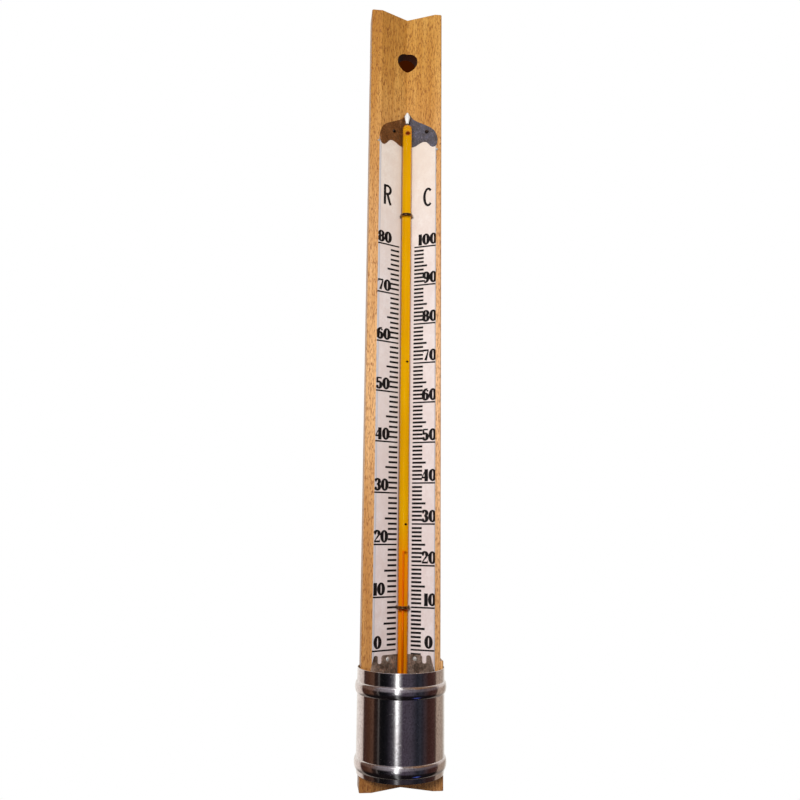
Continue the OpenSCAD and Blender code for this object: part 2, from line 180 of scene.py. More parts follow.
class StemLook(bpy.types.PropertyGroup):
    enamel: colour("Enamel", (0.77, 0.43, 0.001), "Yellow enamel behind the bore")
    scorched: colour("Scorched end", (0.66, 0.27, 0.03), "Enamel browned at the sealed end")
    char: colour("Char", (0.15, 0.02, 0.002), "Dark spot where the bore was sealed")
    flaw: colour("Flaws", (0.02, 0.006, 0.001), "Two small flaws in the enamel")
    scorched_length: length("Scorched length", 4.2, "Browned stretch below the sealed end")
    # The nib's white is a painted highlight: the glare of light on the glass tip
    nib: colour("Nib", (0.98, 0.975, 0.96), "Milky drawn-off tip")
    spirit: colour("Spirit", (0.74, 0.11, 0.001), "Red spirit")
    spirit_edge: colour("Spirit edge", (0.82, 0.22, 0.001), "Thin edges of the red spirit")
    clear: colour("Clear glass", (1.0, 0.985, 0.94), "Glass seen straight on")
    # The glass edge colour is painted shade along the stem's sides, where the glass is seen
    # edge-on
    edge: colour("Glass edge", (0.50, 0.29, 0.13), "Amber tint of the glass at its edges")
    nib_start: length("Nib start", 0.6, "Height of the milky tip above the stem's round end")
    tip_length: length("Tip length", 7, "Length of the drawn-off tip")
    neck: length("Neck", 0.75, "Radius of the tip's neck")
    bead: length("Bead", 1.4, "Radius of the tip's bead")
    bead_drop: length("Bead drop", 2.5, "Tip's end to its bead")
    cap_gap: length("Cap gap", 0.1, "Glass over the enamel at the stem's round end")
    cap_wall: length("Cap wall", 0.3, "Thickness of the enamel there")
    index: FloatProperty(name="IOR", description="Index of refraction", default=1.5)


class PlateLook(bpy.types.PropertyGroup):
    tin: colour("Tinplate", (0.185, 0.18, 0.22), "Darkened tinplate of the top plate")
    stain: colour("Stain", (0.13, 0.115, 0.12), "Darker blotches on the top plate")
    # Painted reflection of a brown room on the top plate's left half
    rust: colour("Rust", (1.4, 0.64, 0.18), "Tint of the rusty left half of the top plate")
    dull: colour("Dull tinplate", (0.34, 0.245, 0.19), "Dulled tinplate of the bottom plate")
    grime: colour("Grime", (0.10, 0.068, 0.05), "Grime on the bottom plate")
    steel: colour("Steel", (0.86, 0.83, 0.79), "Bright nails and brads")
    rusty: colour("Dark steel", (0.11, 0.075, 0.055), "Darkened nails of the top plate")
    wire: colour("Tarnished wire", (0.33, 0.20, 0.085), "Tarnished wire ties")


class SleeveLook(bpy.types.PropertyGroup):
    tin: colour("Polished tin", (0.88, 0.88, 0.89), "Polished sheet metal")
    worn: colour("Worn tin", (0.60, 0.575, 0.57), "Dull specks on the sheet metal")
    roughness: share("Roughness", 0.045, "Roughness between the scratches")
    wall: length("Wall", 0.35, "Thickness of the sheet")
    bead_width: length("Bead width", 5.2, "Width of a rolled bead")
    bead_height: length("Bead height", 0.9, "Height of a rolled bead")
    taper: length("Taper", 0.25, "Thinning of the sheet at the lower rim")
    hold: length("Hold", 0.12, "Flat beside each rounded stretch of the profile")
    upper_bead_drop: length("Upper bead drop", 8.4, "Upper rim to the upper bead")
    lower_bead_rise: length("Lower bead rise", 4.7, "Lower rim to the lower bead")


class StageLook(bpy.types.PropertyGroup):
    camera: spot("Camera", (-45.455, -383.66, -239.94), "Place of the camera")
    lamp: spot("Lamp", (-145, -420, -132), "Place of the lamp")
    lamp_size: length("Lamp size", 110, "Side of the square lamp")
    lamp_power: FloatProperty(name="Lamp power", description="Power in watts", default=1.6)
    ambient: colour("Ambient", (0.345, 0.335, 0.325), "Soft light from all round")
    floor_drop: length("Floor drop", 350, "Floor below the hanging object")
    floor_radius: length("Floor radius", 900, "Radius of the floor")
    floor_tone: colour("Floor", (0.86, 0.86, 0.85), "Pale floor")
    floor_white: share("Floor white", 0.75, "Plain white in what the camera sees of the floor")
    behind_hole: colour("Behind the hole", (0.04, 0.006, 0.0), "Dark behind the hanging hole")


# Materials


def put(tree, kind, inputs=None, **settings):
    """Adds a shader node, sets it up and links or fills its inputs."""
    node = tree.nodes.new("ShaderNode" + kind)
    for name, value in settings.items():
        setattr(node, name, value)
    for name, value in (inputs or {}).items():
        if isinstance(value, bpy.types.NodeSocket):
            tree.links.new(value, node.inputs[name])
        else:
            node.inputs[name].default_value = value
    return node


def new_material(name, **plain):
    """A material with its Principled shader, whose sockets take the plain values."""
    material = bpy.data.materials.new(name)
    material.use_nodes = True
    tree = material.node_tree
    shader = tree.nodes["Principled BSDF"]
    for socket, value in plain.items():
        shader.inputs[socket.replace("_", " ")].default_value = value
    return material, tree, shader


def opaque(rgb):
    """A colour with its alpha."""
    return (*rgb, 1.0)


def place(tree, scale=(1, 1, 1), centre=(0, 0, 0), turn=(0, 0, 0)):
    """Object coordinates about a centre, turned and then scaled per axis."""
    source = put(tree, "TexCoord").outputs["Object"]
    moved = put(tree, "VectorMath", {0: source, 1: tuple(-c for c in centre)}, operation="ADD")
    turned = put(tree, "VectorRotate", {"Vector": moved.outputs[0], "Rotation": turn},
                 rotation_type="EULER_XYZ")
    return put(tree, "VectorMath", {0: turned.outputs[0], 1: scale},
               operation="MULTIPLY").outputs[0]


def noise(tree, scale, detail=2.0, rough=0.5, centre=(0, 0, 0), turn=(0, 0, 0)):
    """Noise whose size is set per axis, in waves per metre."""
    where = place(tree, scale, centre, turn)
    node = put(tree, "TexNoise", {"Vector": where, "Scale": 1.0, "Detail": detail,
                                  "Roughness": rough})
    return node.outputs["Fac"]


def ramp(tree, value, stops, interpolation="LINEAR"):
    """A colour ramp given as (position, colour or grey level) pairs."""
    node = put(tree, "ValToRGB", {"Fac": value})
    node.color_ramp.interpolation = interpolation
    elements = node.color_ramp.elements
    while len(elements) < len(stops):
        elements.new(0.5)
    for element, (position, tone) in zip(elements, sorted(stops, key=lambda s: s[0])):
        element.position = position
        element.color = opaque(tone) if hasattr(tone, "__len__") else (tone, tone, tone, 1)
    return node.outputs["Color"]


def fade(tree, value, low, high, to_low=0.0, to_high=1.0):
    """A smooth step of a value between two limits."""
    return put(tree, "MapRange", {"Value": value, "From Min": low, "From Max": high,
                                  "To Min": to_low, "To Max": to_high},
               interpolation_type="SMOOTHSTEP").outputs["Result"]


def blend_colour(tree, factor, a, b, mode="MIX"):
    """Mixes two colours."""
    node = put(tree, "Mix", {"Factor": factor}, data_type="RGBA", blend_type=mode)
    for socket, value in zip(("A", "B"), (a, b)):
        target = [s for s in node.inputs if s.name == socket and s.type == "RGBA"][0]
        if isinstance(value, bpy.types.NodeSocket):
            tree.links.new(value, target)
        else:
            target.default_value = opaque(value)
    return [s for s in node.outputs if s.type == "RGBA"][0]


def tint(tree, tone, factor, shade):
    """Multiplies a tone by a shade, as far as the factor says."""
    return blend_colour(tree, factor, tone, shade, "MULTIPLY")


def number(tree, operation, a, b=0.0, c=0.0):
    """One step of arithmetic."""
    return put(tree, "Math", {0: a, 1: b, 2: c}, operation=operation).outputs[0]


def times(tree, a, b):
    return number(tree, "MULTIPLY", a, b)


def plus(tree, a, b):
    return number(tree, "ADD", a, b)


def remap(tree, value, to_low, to_high, low=0.0, high=1.0):
    """Maps one range evenly onto another."""
    return put(tree, "MapRange", {"Value": value, "From Min": low, "From Max": high,
                                  "To Min": to_low, "To Max": to_high}).outputs["Result"]


def axis_value(tree, axis):
    """One of the object coordinates."""
    source = put(tree, "TexCoord").outputs["Object"]
    return put(tree, "SeparateXYZ", {"Vector": source}).outputs[axis]


def distance(tree, scale, centre=(0, 0, 0)):
    """Distance from a centre, with each axis scaled first."""
    where = place(tree, scale, centre)
    return put(tree, "VectorMath", {0: where}, operation="LENGTH").outputs["Value"]


def bump(tree, shader, height, depth, strength):
    """Gives a surface its fine relief, to a depth in metres."""
    node = put(tree, "Bump", {"Height": height, "Distance": depth, "Strength": strength})
    tree.links.new(node.outputs["Normal"], shader.inputs["Normal"])


def paint(tree, shader, tone, rough):
    """Links a surface's colour and roughness."""
    tree.links.new(tone, shader.inputs["Base Color"])
    tree.links.new(rough, shader.inputs["Roughness"])


def blot(tree, tone, pattern, stops, other):
    """Mixes in another colour as far as a pattern's ramp says."""
    return blend_colour(tree, ramp(tree, pattern, stops), tone, other)


def beech_material(look):
    material, tree, shader = new_material("beech_varnished", Coat_Roughness=0.25)
    lean = (0, radians(0.6), 0)
    bands = noise(tree, (70, 70, 7), 3.0, 0.55)
    fibres = noise(tree, (2400, 1200, 70), 4.0, 0.6, turn=lean)
    streaks = noise(tree, (620, 300, 16), 3.0, 0.6, turn=lean)
    rays = noise(tree, (2000, 2000, 430), 2.0, 0.6)
    flecks = noise(tree, (1900, 1700, 380), 2.0, 0.5)
    tone = blot(tree, look.deep, bands, [(0.32, 0.0), (0.68, 1.0)], look.pale)
    darker = tint(tree, tone, 1.0, (0.80, 0.70, 0.55))
    tone = blot(tree, tone, streaks, [(0.38, 0.9), (0.62, 0.0)], darker)
    tone = blot(tree, tone, fibres, [(0.36, 0.9), (0.56, 0.0)], darker)
    tone = blot(tree, tone, rays, [(0.36, 0.75), (0.5, 0.0)], look.fleck)
    dash = ramp(tree, flecks, [(0.30, 0.9), (0.37, 0.0)])
    tone = blend_colour(tree, dash, tone, look.fleck)
    height = axis_value(tree, "Z")
    tone = tint(tree, tone, fade(tree, height, *AMBER_WOOD), (0.86, 0.75, 0.34))
    # Darker and warmer towards the bottom
    tone = tint(tree, tone, fade(tree, height, *DARKER_LOW_WOOD), (0.82, 0.75, 0.56))
    # Painted shade towards the left edge, and a painted sheen along the right one
    along = axis_value(tree, "X")
    left_shade = fade(tree, along, BOARD_HIGH.x, BOARD_LOW.x)
    tone = tint(tree, tone, left_shade, (0.93, 0.90, 0.86))
    right_edge_sheen = fade(tree, along, 0.6 * BOARD_HIGH.x, 0.9 * BOARD_HIGH.x)
    tone = tint(tree, tone, right_edge_sheen, (1.14, 1.17, 1.35))
    # Painted shadow of the sleeve on the board's foot
    tone = tint(tree, tone, fade(tree, height, *SLEEVE_SHADOW_WOOD), (0.66, 0.60, 0.55))
    # Painted shade on the wall of the hanging hole
    across = distance(tree, (1, 0, 1))
    inside = fade(tree, across, look.bore_radius, look.bore_radius * 0.985)
    tone = blend_colour(tree, inside, tone, look.bore)
    rough = fade(tree, fibres, 0.3, 0.7, look.gloss_roughness + 0.12, look.gloss_roughness - 0.1)
    paint(tree, shader, tone, number(tree, "MAXIMUM", rough, inside))
    tree.links.new(fade(tree, inside, 1.0, 0.0, 0.0, 0.12), shader.inputs["Coat Weight"])
    relief = plus(tree, fibres, times(tree, dash, -1.5))
    bump(tree, shader, relief, 0.04 * MM, 0.7)
    return material


def strip_material(look):
    material, tree, shader = new_material("cream_enamel", Coat_Weight=0.25, Coat_Roughness=0.2)
    mottle = noise(tree, (330, 330, 200), 5.0, 0.65)
    cloud = noise(tree, (60, 60, 22), 2.0)
    height = axis_value(tree, "Z")
    tone = blend_colour(tree, fade(tree, height, *YELLOWED_STRIP), look.enamel, look.warm)
    # Painted shade, darker towards the bottom
    tone = tint(tree, tone, fade(tree, height, *LOWER_STRIP_SHADE), (0.96, 0.93, 0.94))
    stained = tint(tree, tone, 1.0, (0.89, 0.84, 0.81))
    specks = noise(tree, (1500, 1500, 1100), 3.0, 0.6)
    tone = blot(tree, tone, specks, [(0.36, 0.75), (0.5, 0.0)], stained)
    tone = blot(tree, tone, mottle, [(0.35, 1.0), (0.62, 0.0)], stained)
    tone = blot(tree, tone, cloud, [(0.35, 0.7), (0.65, 0.0)], stained)
    along = axis_value(tree, "X")
    aside = number(tree, "ABSOLUTE", number(tree, "SUBTRACT", along, look.edge_middle))
    edge = fade(tree, aside, look.edge_start, look.edge_start + 0.15 * MM)
    tone = blend_colour(tree, times(tree, edge, 0.7), tone, look.bare)
    # Painted shadow in the fold at the stem's left side, up to where the stem hides it
    start = fade(tree, along, look.grime_start, look.grime_start + 0.35 * MM)
    end = fade(tree, along, look.grime_end, look.grime_end - 0.4 * MM, 0.0, 0.85)
    fold = times(tree, start, end)
    fold = times(tree, fold, fade(tree, height, *THINNER_STEM_SHADE, 1.0, 0.4))
    tone = tint(tree, tone, fold, (0.30, 0.17, 0.09))
    paint(tree, shader, tone, remap(tree, mottle, 0.3, 0.52))
    bump(tree, shader, mottle, 0.03 * MM, 0.35)
    return material


def ink_material(look):
    material, tree, shader = new_material("black_ink", Specular_IOR_Level=0.25)
    wear = noise(tree, (900, 900, 900), 3.0)
    worn = tuple(4 * c for c in look.ink)
    tone = blot(tree, look.ink, wear, [(0.3, 0.0), (0.75, 1.0)], worn)
    paint(tree, shader, tone, remap(tree, wear, 0.35, 0.6))
    return material


def glass_material(look):
    material, tree, shader = new_material(
        "stem_glass", Transmission_Weight=1.0, IOR=look.index, Roughness=0.0,
        Specular_Tint=(0.25, 0.22, 0.14, 1)
    )
    # Painted shade where the glass is seen edge-on, along the stem's sides
    rim = put(tree, "LayerWeight", {"Blend": 0.5}).outputs["Facing"]
    edge = blend_colour(tree, fade(tree, rim, 0.34, 0.62), look.clear, look.edge)
    tree.links.new(edge, shader.inputs["Base Color"])
    ripple = noise(tree, (120, 120, 25), 2.0)
    bump(tree, shader, ripple, 0.02 * MM, 0.5)
    return material


def enamel_material(look):
    material, tree, shader = new_material("yellow_enamel", Specular_IOR_Level=0.0)
    shade = noise(tree, (500, 500, 30), 3.0)
    deep = tuple(c * s for c, s in zip(look.enamel, (0.93, 0.86, 0.9)))
    tone = blot(tree, deep, shade, [(0.35, 0.0), (0.65, 1.0)], look.enamel)
    height = axis_value(tree, "Z")
    tone = tint(tree, tone, fade(tree, height, *ORANGE_ENAMEL), (1.06, 0.66, 1.0))
    # Painted shade at the sides below the middle, and on the right low down
    aside = number(tree, "SUBTRACT", axis_value(tree, "X"), STEM_AXIS.x)
    flank = fade(tree, number(tree, "ABSOLUTE", aside), 0.3 * MM, 0.9 * MM)
    flank = times(tree, flank, fade(tree, height, *DIM_SIDES))
    flank = times(tree, flank, fade(tree, height, *CLEARER_SIDES, 1.0, 0.2))
    tone = tint(tree, tone, flank, (0.85, 0.81, 1.0))
    right = times(tree, fade(tree, aside, 0.2 * MM, 0.9 * MM), fade(tree, height, *DIM_RIGHT))
    tone = tint(tree, tone, right, (0.72, 0.86, 1.0))
    foot = BAND_TOP - look.scorched_length
    clot = noise(tree, (700, 700, 500), 3.0)
    burnt = blot(tree, look.scorched, clot, [(0.35, 0.0), (0.6, 1.0)], look.enamel)
    tone = blend_colour(tree, fade(tree, height, foot, foot + 0.2 * MM), tone, burnt)
    for z in FLAW_HEIGHTS:
        away = distance(tree, (1.7, 0, 0.8), (STEM_AXIS.x + 0.6 * MM, 0, z))
        tone = blend_colour(tree, fade(tree, away, 0.5 * MM, 0.35 * MM), tone, look.flaw)
    # Char where the bore was sealed, and a faint line where the browned stretch starts
    seal = (STEM_AXIS.x + 0.3 * MM, 0, foot + 1.4 * MM)
    char = fade(tree, distance(tree, (2.2, 0, 0.9), seal), 1.2 * MM, 0.6 * MM)
    line = number(tree, "ABSOLUTE", number(tree, "SUBTRACT", height, foot))
    dark = number(tree, "MAXIMUM", char, fade(tree, line, 0.3 * MM, 0.1 * MM, 0.0, 0.2))
    tone = blend_colour(tree, dark, tone, look.char)
    paint(tree, shader, tone, remap(tree, shade, 0.3, 0.5))
    return material


def nib_material(look):
    material, tree, shader = new_material("nib_painted_glare", Coat_Weight=0.5, Coat_Roughness=0.05)
    # The white stands in for the glare of light on the glass tip: a painted highlight
    haze = noise(tree, (900, 900, 700), 2.0)
    grey = tuple(c * 0.8 for c in look.nib)
    tone = blot(tree, grey, haze, [(0.35, 0.0), (0.6, 1.0)], look.nib)
    paint(tree, shader, tone, fade(tree, haze, 0.3, 0.7, 0.1, 0.25))
    return material


def spirit_material(look):
    material, tree, shader = new_material("red_spirit", Specular_IOR_Level=0.0)
    depth = noise(tree, (400, 400, 60), 2.0)
    bright = tuple(min(1.0, c * s) for c, s in zip(look.spirit, (1.25, 1.7, 1.5)))
    tone = blot(tree, look.spirit, depth, [(0.3, 0.0), (0.7, 1.0)], bright)
    # Redder in the middle, where the thread is thickest
    rim = put(tree, "LayerWeight", {"Blend": 0.5}).outputs["Facing"]
    tone = blend_colour(tree, fade(tree, rim, 0.05, 0.6), tone, look.spirit_edge)
    paint(tree, shader, tone, fade(tree, depth, 0.3, 0.7, 0.08, 0.2))
    return material


def tinplate_material(name, tin, stain, metallic, rust=(1, 1, 1)):
    material, tree, shader = new_material(name, Metallic=metallic)
    blotch = noise(tree, (260, 260, 260), 4.0, 0.6)
    grain = noise(tree, (1800, 1800, 120), 3.0, turn=(0, radians(12), 0))
    tone = blot(tree, tin, blotch, [(0.38, 1.0), (0.6, 0.0)], stain)
    specks = noise(tree, (1300, 1300, 1300), 3.0, 0.75)
    tone = tint(tree, tone, ramp(tree, specks, [(0.5, 0.0), (0.7, 0.9)]), (2.2, 2.1, 2.15))
    # Painted reflection on the plate's left half
    tone = tint(tree, tone, fade(tree, axis_value(tree, "X"), 1.0 * MM, -1.5 * MM), rust)
    rough = plus(tree, fade(tree, blotch, 0.3, 0.7, 0.26, 0.12),
                 fade(tree, grain, 0.3, 0.7, 0.0, 0.1))
    paint(tree, shader, tone, rough)
    bump(tree, shader, plus(tree, blotch, times(tree, grain, 0.3)), 0.12 * MM, 0.5)
    return material


def steel_material(name, bright, roughness, metallic):
    material, tree, shader = new_material(name, Metallic=metallic)
    wear = noise(tree, (2500, 2500, 2500), 3.0)
    dull = tuple(c * 0.45 for c in bright)
    tone = blot(tree, dull, wear, [(0.35, 0.0), (0.6, 1.0)], bright)
    paint(tree, shader, tone, fade(tree, wear, 0.3, 0.7, roughness + 0.2, roughness))
    bump(tree, shader, wear, 0.03 * MM, 0.5)
    return material


def sleeve_material(look):
    material, tree, shader = new_material("polished_tin", Metallic=1.0)
    axis = tuple(SLEEVE_AXIS)
    rings = noise(tree, (45, 45, 5200), 4.0, 0.65, axis)
    slants = noise(tree, (700, 700, 5200), 3.0, 0.7, axis, (radians(24), radians(18), 0))
    cloud = noise(tree, (110, 110, 90), 4.0, 0.6, axis)
    scratch = times(tree, ramp(tree, slants, [(0.62, 0.0), (0.74, 1.0)]), 0.6)
    grain = noise(tree, (1300, 1300, 1000), 3.0, 0.7, axis)
    clouds = ramp(tree, cloud, [(0.35, 0.8), (0.62, 0.0)])
    tone = tint(tree, look.tin, clouds, (0.8, 0.78, 0.76))
    tone = blot(tree, tone, grain, [(0.38, 0.9), (0.55, 0.0)], look.worn)
    rough = plus(tree, fade(tree, cloud, 0.3, 0.7, 0.04, 0.0),
                 fade(tree, rings, 0.3, 0.75, look.roughness, look.roughness + 0.06))
    rough = plus(tree, rough, times(tree, scratch, 0.3))
    paint(tree, shader, tone, rough)
    relief = plus(tree, times(tree, rings, 0.5), scratch)
    relief = plus(tree, relief, grain)
    bump(tree, shader, relief, 0.01 * MM, 0.8)
    return material


# Shapes


def finish_piece(name, bm, material, smooth=True):
    """Turns a bmesh into a piece with one material. Its place is in its mesh."""
    mesh = bpy.data.meshes.new(name)
    bm.to_mesh(mesh)
    bm.free()
    for polygon in mesh.polygons:
        polygon.use_smooth = smooth
    piece = bpy.data.objects.new(name, mesh)
    bpy.context.scene.collection.objects.link(piece)
    mesh.materials.append(material)
    return piece


def lathe(bm, outline, axis, steps, closed=False):
    """Spins an outline of (radius, height) points about a vertical axis."""
    points = [bm.verts.new((axis.x + r, axis.y, z)) for r, z in outline]
    ends = points[1:] + points[:1] if closed else points[1:]
    edges = [bm.edges.new(pair) for pair in zip(points, ends)]
    bmesh.ops.spin(bm, geom=points + edges, cent=(axis.x, axis.y, 0), axis=(0, 0, 1),
                   angle=2 * pi, steps=steps, use_merge=True)
    bmesh.ops.remove_doubles(bm, verts=bm.verts, dist=0.002 * MM)
    bmesh.ops.recalc_face_normals(bm, faces=bm.faces)


def cut(bm, point, facing, clear=False):
    """Cuts all there is at a plane and clears what lies beyond it, if asked."""
    bmesh.ops.bisect_plane(bm, geom=bm.verts[:] + bm.edges[:] + bm.faces[:],
                           plane_co=point, plane_no=facing, clear_outer=clear)


def arc(centre, radius, start, end, steps):
    """Points of an arc in the outline's plane, with its angles in degrees."""
    turns = [radians(start + (end - start) * i / steps) for i in range(steps + 1)]
    return [(centre[0] + radius * cos(a), centre[1] + radius * sin(a)) for a in turns]


def dress(node, material):
    """Gives a CAD node a finish of its own."""
    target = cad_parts[node]
    target.data.materials.clear()
    target.data.materials.append(material)
    return target


def bar(bm, start, end, width_start, width_end):
    """A straight stroke in the plane of the scale."""
    a = Vector((start[0], 0, start[1]))
    b = Vector((end[0], 0, end[1]))
    side = (b - a).normalized().cross(Vector((0, 1, 0)))
    corners = [a - side * width_start / 2, b - side * width_end / 2,
               b + side * width_end / 2, a + side * width_start / 2]
    bm.faces.new([bm.verts.new(c) for c in corners])


# Least width of the opening inside a curved stroke
NARROWEST_OPENING = 0.36 * MM


def bow(bm, centre, radii, start, sweep, stem, hair, steps=20):
    """A curved stroke, thick where it runs upright and thin where it lies flat."""
    old = set(bm.verts)
    a = radians(start)
    # A flat ring from 0.5 to 1, whose two edges are then stretched to their sizes
    ends = [bm.verts.new((r * cos(a), 0, r * sin(a))) for r in (1.0, 0.5)]
    edge = bm.edges.new(ends)
    whole = abs(sweep) >= 360
    bmesh.ops.spin(bm, geom=ends + [edge], cent=(0, 0, 0), axis=(0, -1, 0),
                   angle=radians(sweep), steps=steps, use_merge=whole)
    new = [v for v in bm.verts if v not in old]
    outer = [v for v in new if v.co.length > 0.75]
    inner = [v for v in new if v.co.length <= 0.75]
    bmesh.ops.scale(bm, vec=(radii[0] + stem / 2, 1, radii[1] + hair / 2), verts=outer)
    open_width = max(2 * radii[0] - stem, NARROWEST_OPENING)
    bmesh.ops.scale(bm, vec=(open_width, 1, 2 * radii[1] - hair), verts=inner)
    bmesh.ops.translate(bm, vec=(centre[0], 0, centre[1]), verts=new)


def ball(bm, centre, radius):
    """A round end of a stroke."""
    place_at = Matrix.Translation((centre[0], 0, centre[1])) @ Matrix.Rotation(pi / 2, 4, "X")
    bmesh.ops.create_circle(bm, cap_ends=True, segments=14, radius=radius, matrix=place_at)


# Width of each digit in millimetres, its straight strokes (from, to, widths), bows (centre,
# radii, start, sweep) and balls (centre, radius). T and H are the thick and thin strokes.
DIGIT_HEIGHT = 5.2
DIGITS = {
    "0": (3.15, [], [((1.575, 2.6), (1.04, 2.36), 0, 360)], []),
    "1": (1.75, [((0.95, 0.1), (0.95, 5.2), "T", "T"), ((0.9, 4.95), (0.1, 4.2), 0.5, 0.3),
                 ((0.1, 0.2), (1.75, 0.2), "H", "H")], [], []),
    "2": (2.85, [((2.25, 3.2), (0.3, 0.55), 0.85, 0.35), ((0.15, 0.42), (2.7, 0.42), 0.84, 0.84),
                 ((2.65, 0.2), (2.75, 1.35), 0.4, 0.25)],
          [((1.4, 3.85), (0.88, 1.15), -32, 205)], [((0.6, 3.8), 0.48)]),
    "3": (2.8, [((1.0, 2.72), (1.6, 2.72), "H", "H")],
          [((1.25, 3.95), (0.88, 1.05), -90, 245), ((1.25, 1.48), (0.95, 1.28), -160, 250)],
          [((0.52, 4.15), 0.46), ((0.5, 1.1), 0.5)]),
    "4": (3.0, [((2.05, 0.1), (2.05, 5.2), "T", "T"), ((1.85, 5.0), (0.15, 1.6), 0.42, 0.42),
                ((0.0, 1.5), (2.95, 1.5), "H", "H"), ((1.3, 0.2), (2.8, 0.2), "H", "H")], [], []),
    "5": (2.8, [((0.45, 4.85), (2.55, 4.85), 0.7, 0.7), ((0.52, 2.5), (0.52, 5.0), "H", "H")],
          [((1.25, 1.68), (0.95, 1.48), -160, 300)], [((0.5, 1.1), 0.5)]),
    "6": (2.9, [], [((1.45, 1.65), (0.92, 1.45), 0, 360), ((1.85, 2.6), (1.32, 2.4), 72, 130)],
          [((2.3, 4.3), 0.46)]),
    "7": (2.8, [((0.15, 4.75), (2.7, 4.75), 0.85, 0.85), ((2.5, 4.5), (1.3, 0.1), 0.5, 1.2),
                ((0.28, 5.0), (0.2, 3.75), 0.4, 0.25)], [], []),
    "8": (2.9, [], [((1.45, 3.88), (0.78, 1.12), 0, 360), ((1.45, 1.5), (0.92, 1.3), 0, 360)], []),
    "9": (2.9, [], [((1.45, 3.55), (0.92, 1.45), 0, 360), ((1.05, 2.6), (1.32, 2.4), -108, 130)],
          [((0.6, 0.9), 0.46)]),
}
UNIT_LETTERS = {
    "R": (3.8, [((0.42, 0.0), (0.42, 10.4)), ((0.42, 9.85), (1.6, 9.85)),
                ((0.42, 5.5), (1.7, 5.5)), ((1.75, 5.4), (3.4, 0.0))],
          [((1.6, 7.68), (1.75, 2.17), -90, 180)]),
    "C": (4.4, [], [((2.2, 4.9), (1.75, 4.35), 48, 264)]),
}


def glyph(bm, shape, x, z, thick, thin, size=1.0, squeeze=1.0):
    """Draws one digit or letter with its lower left corner at x and z."""
    widths = {"T": thick, "H": thin}
    old = set(bm.verts)
    for start, end, *pair in shape[1]:
        pair = [widths[w] if isinstance(w, str) else w * MM for w in pair] or [thick, thick]
        bar(bm, [c * MM for c in start], [c * MM for c in end], *pair)
    for centre, radii, start, sweep in shape[2]:
        bow(bm, [c * MM for c in centre], [c * MM for c in radii], start, sweep, thick, thin)
    for centre, radius in shape[3] if len(shape) > 3 else ():
        ball(bm, [c * MM for c in centre], radius * MM)
    new = [v for v in bm.verts if v not in old]
    bmesh.ops.scale(bm, vec=(size * squeeze, 1, size), verts=new)
    bmesh.ops.translate(bm, vec=(x, 0, z), verts=new)


def numeral(bm, look, text, z, left=None, right=None):
    """A number that starts at its left end or stops at its right end."""
    size = look.digit_height / (DIGIT_HEIGHT * MM)
    squeeze = look.squeeze if left is None else 1.0
    widths = [DIGITS[digit][0] * size * squeeze * MM for digit in text]
    x = left
    if left is None:
        x = right - sum(widths) - look.number_gap * (len(text) - 1)
    for digit, width in zip(text, widths):
        glyph(bm, DIGITS[digit], x, z, look.stem_width / size, look.hair_width / size, size,
              squeeze)
        x += width + look.number_gap


def fold_onto_strip(bm, strip, lift):
    """Cuts flat printing at the groove's edges and lays it on the folded strip."""
    slope = strip.groove_depth / (strip.groove_width / 2)
    land = STRIP_LOW.y
    valley = STRIP_HIGH.y - strip.thickness * hypot(1, slope)
    bend = (valley - land) / slope
    for x in (-bend, bend):
        cut(bm, (x, 0, 0), (1, 0, 0))
    for v in bm.verts:
        v.co.y = max(land, valley - slope * abs(v.co.x)) - lift


class THERMOMETER_OT_board(bpy.types.Operator):
    """Finish the beech board"""

    bl_idname = "thermometer.board"
    bl_label = "Board"

    def execute(self, context):
        dress("backboard", beech_material(context.scene.board_look))
        return {"FINISHED"}


class THERMOMETER_OT_strip(bpy.types.Operator):
    """Finish the folded scale strip"""

    bl_idname = "thermometer.strip"
    bl_label = "Scale strip"

    def execute(self, context):
        dress("scale_strip", strip_material(context.scene.strip_look))
        return {"FINISHED"}


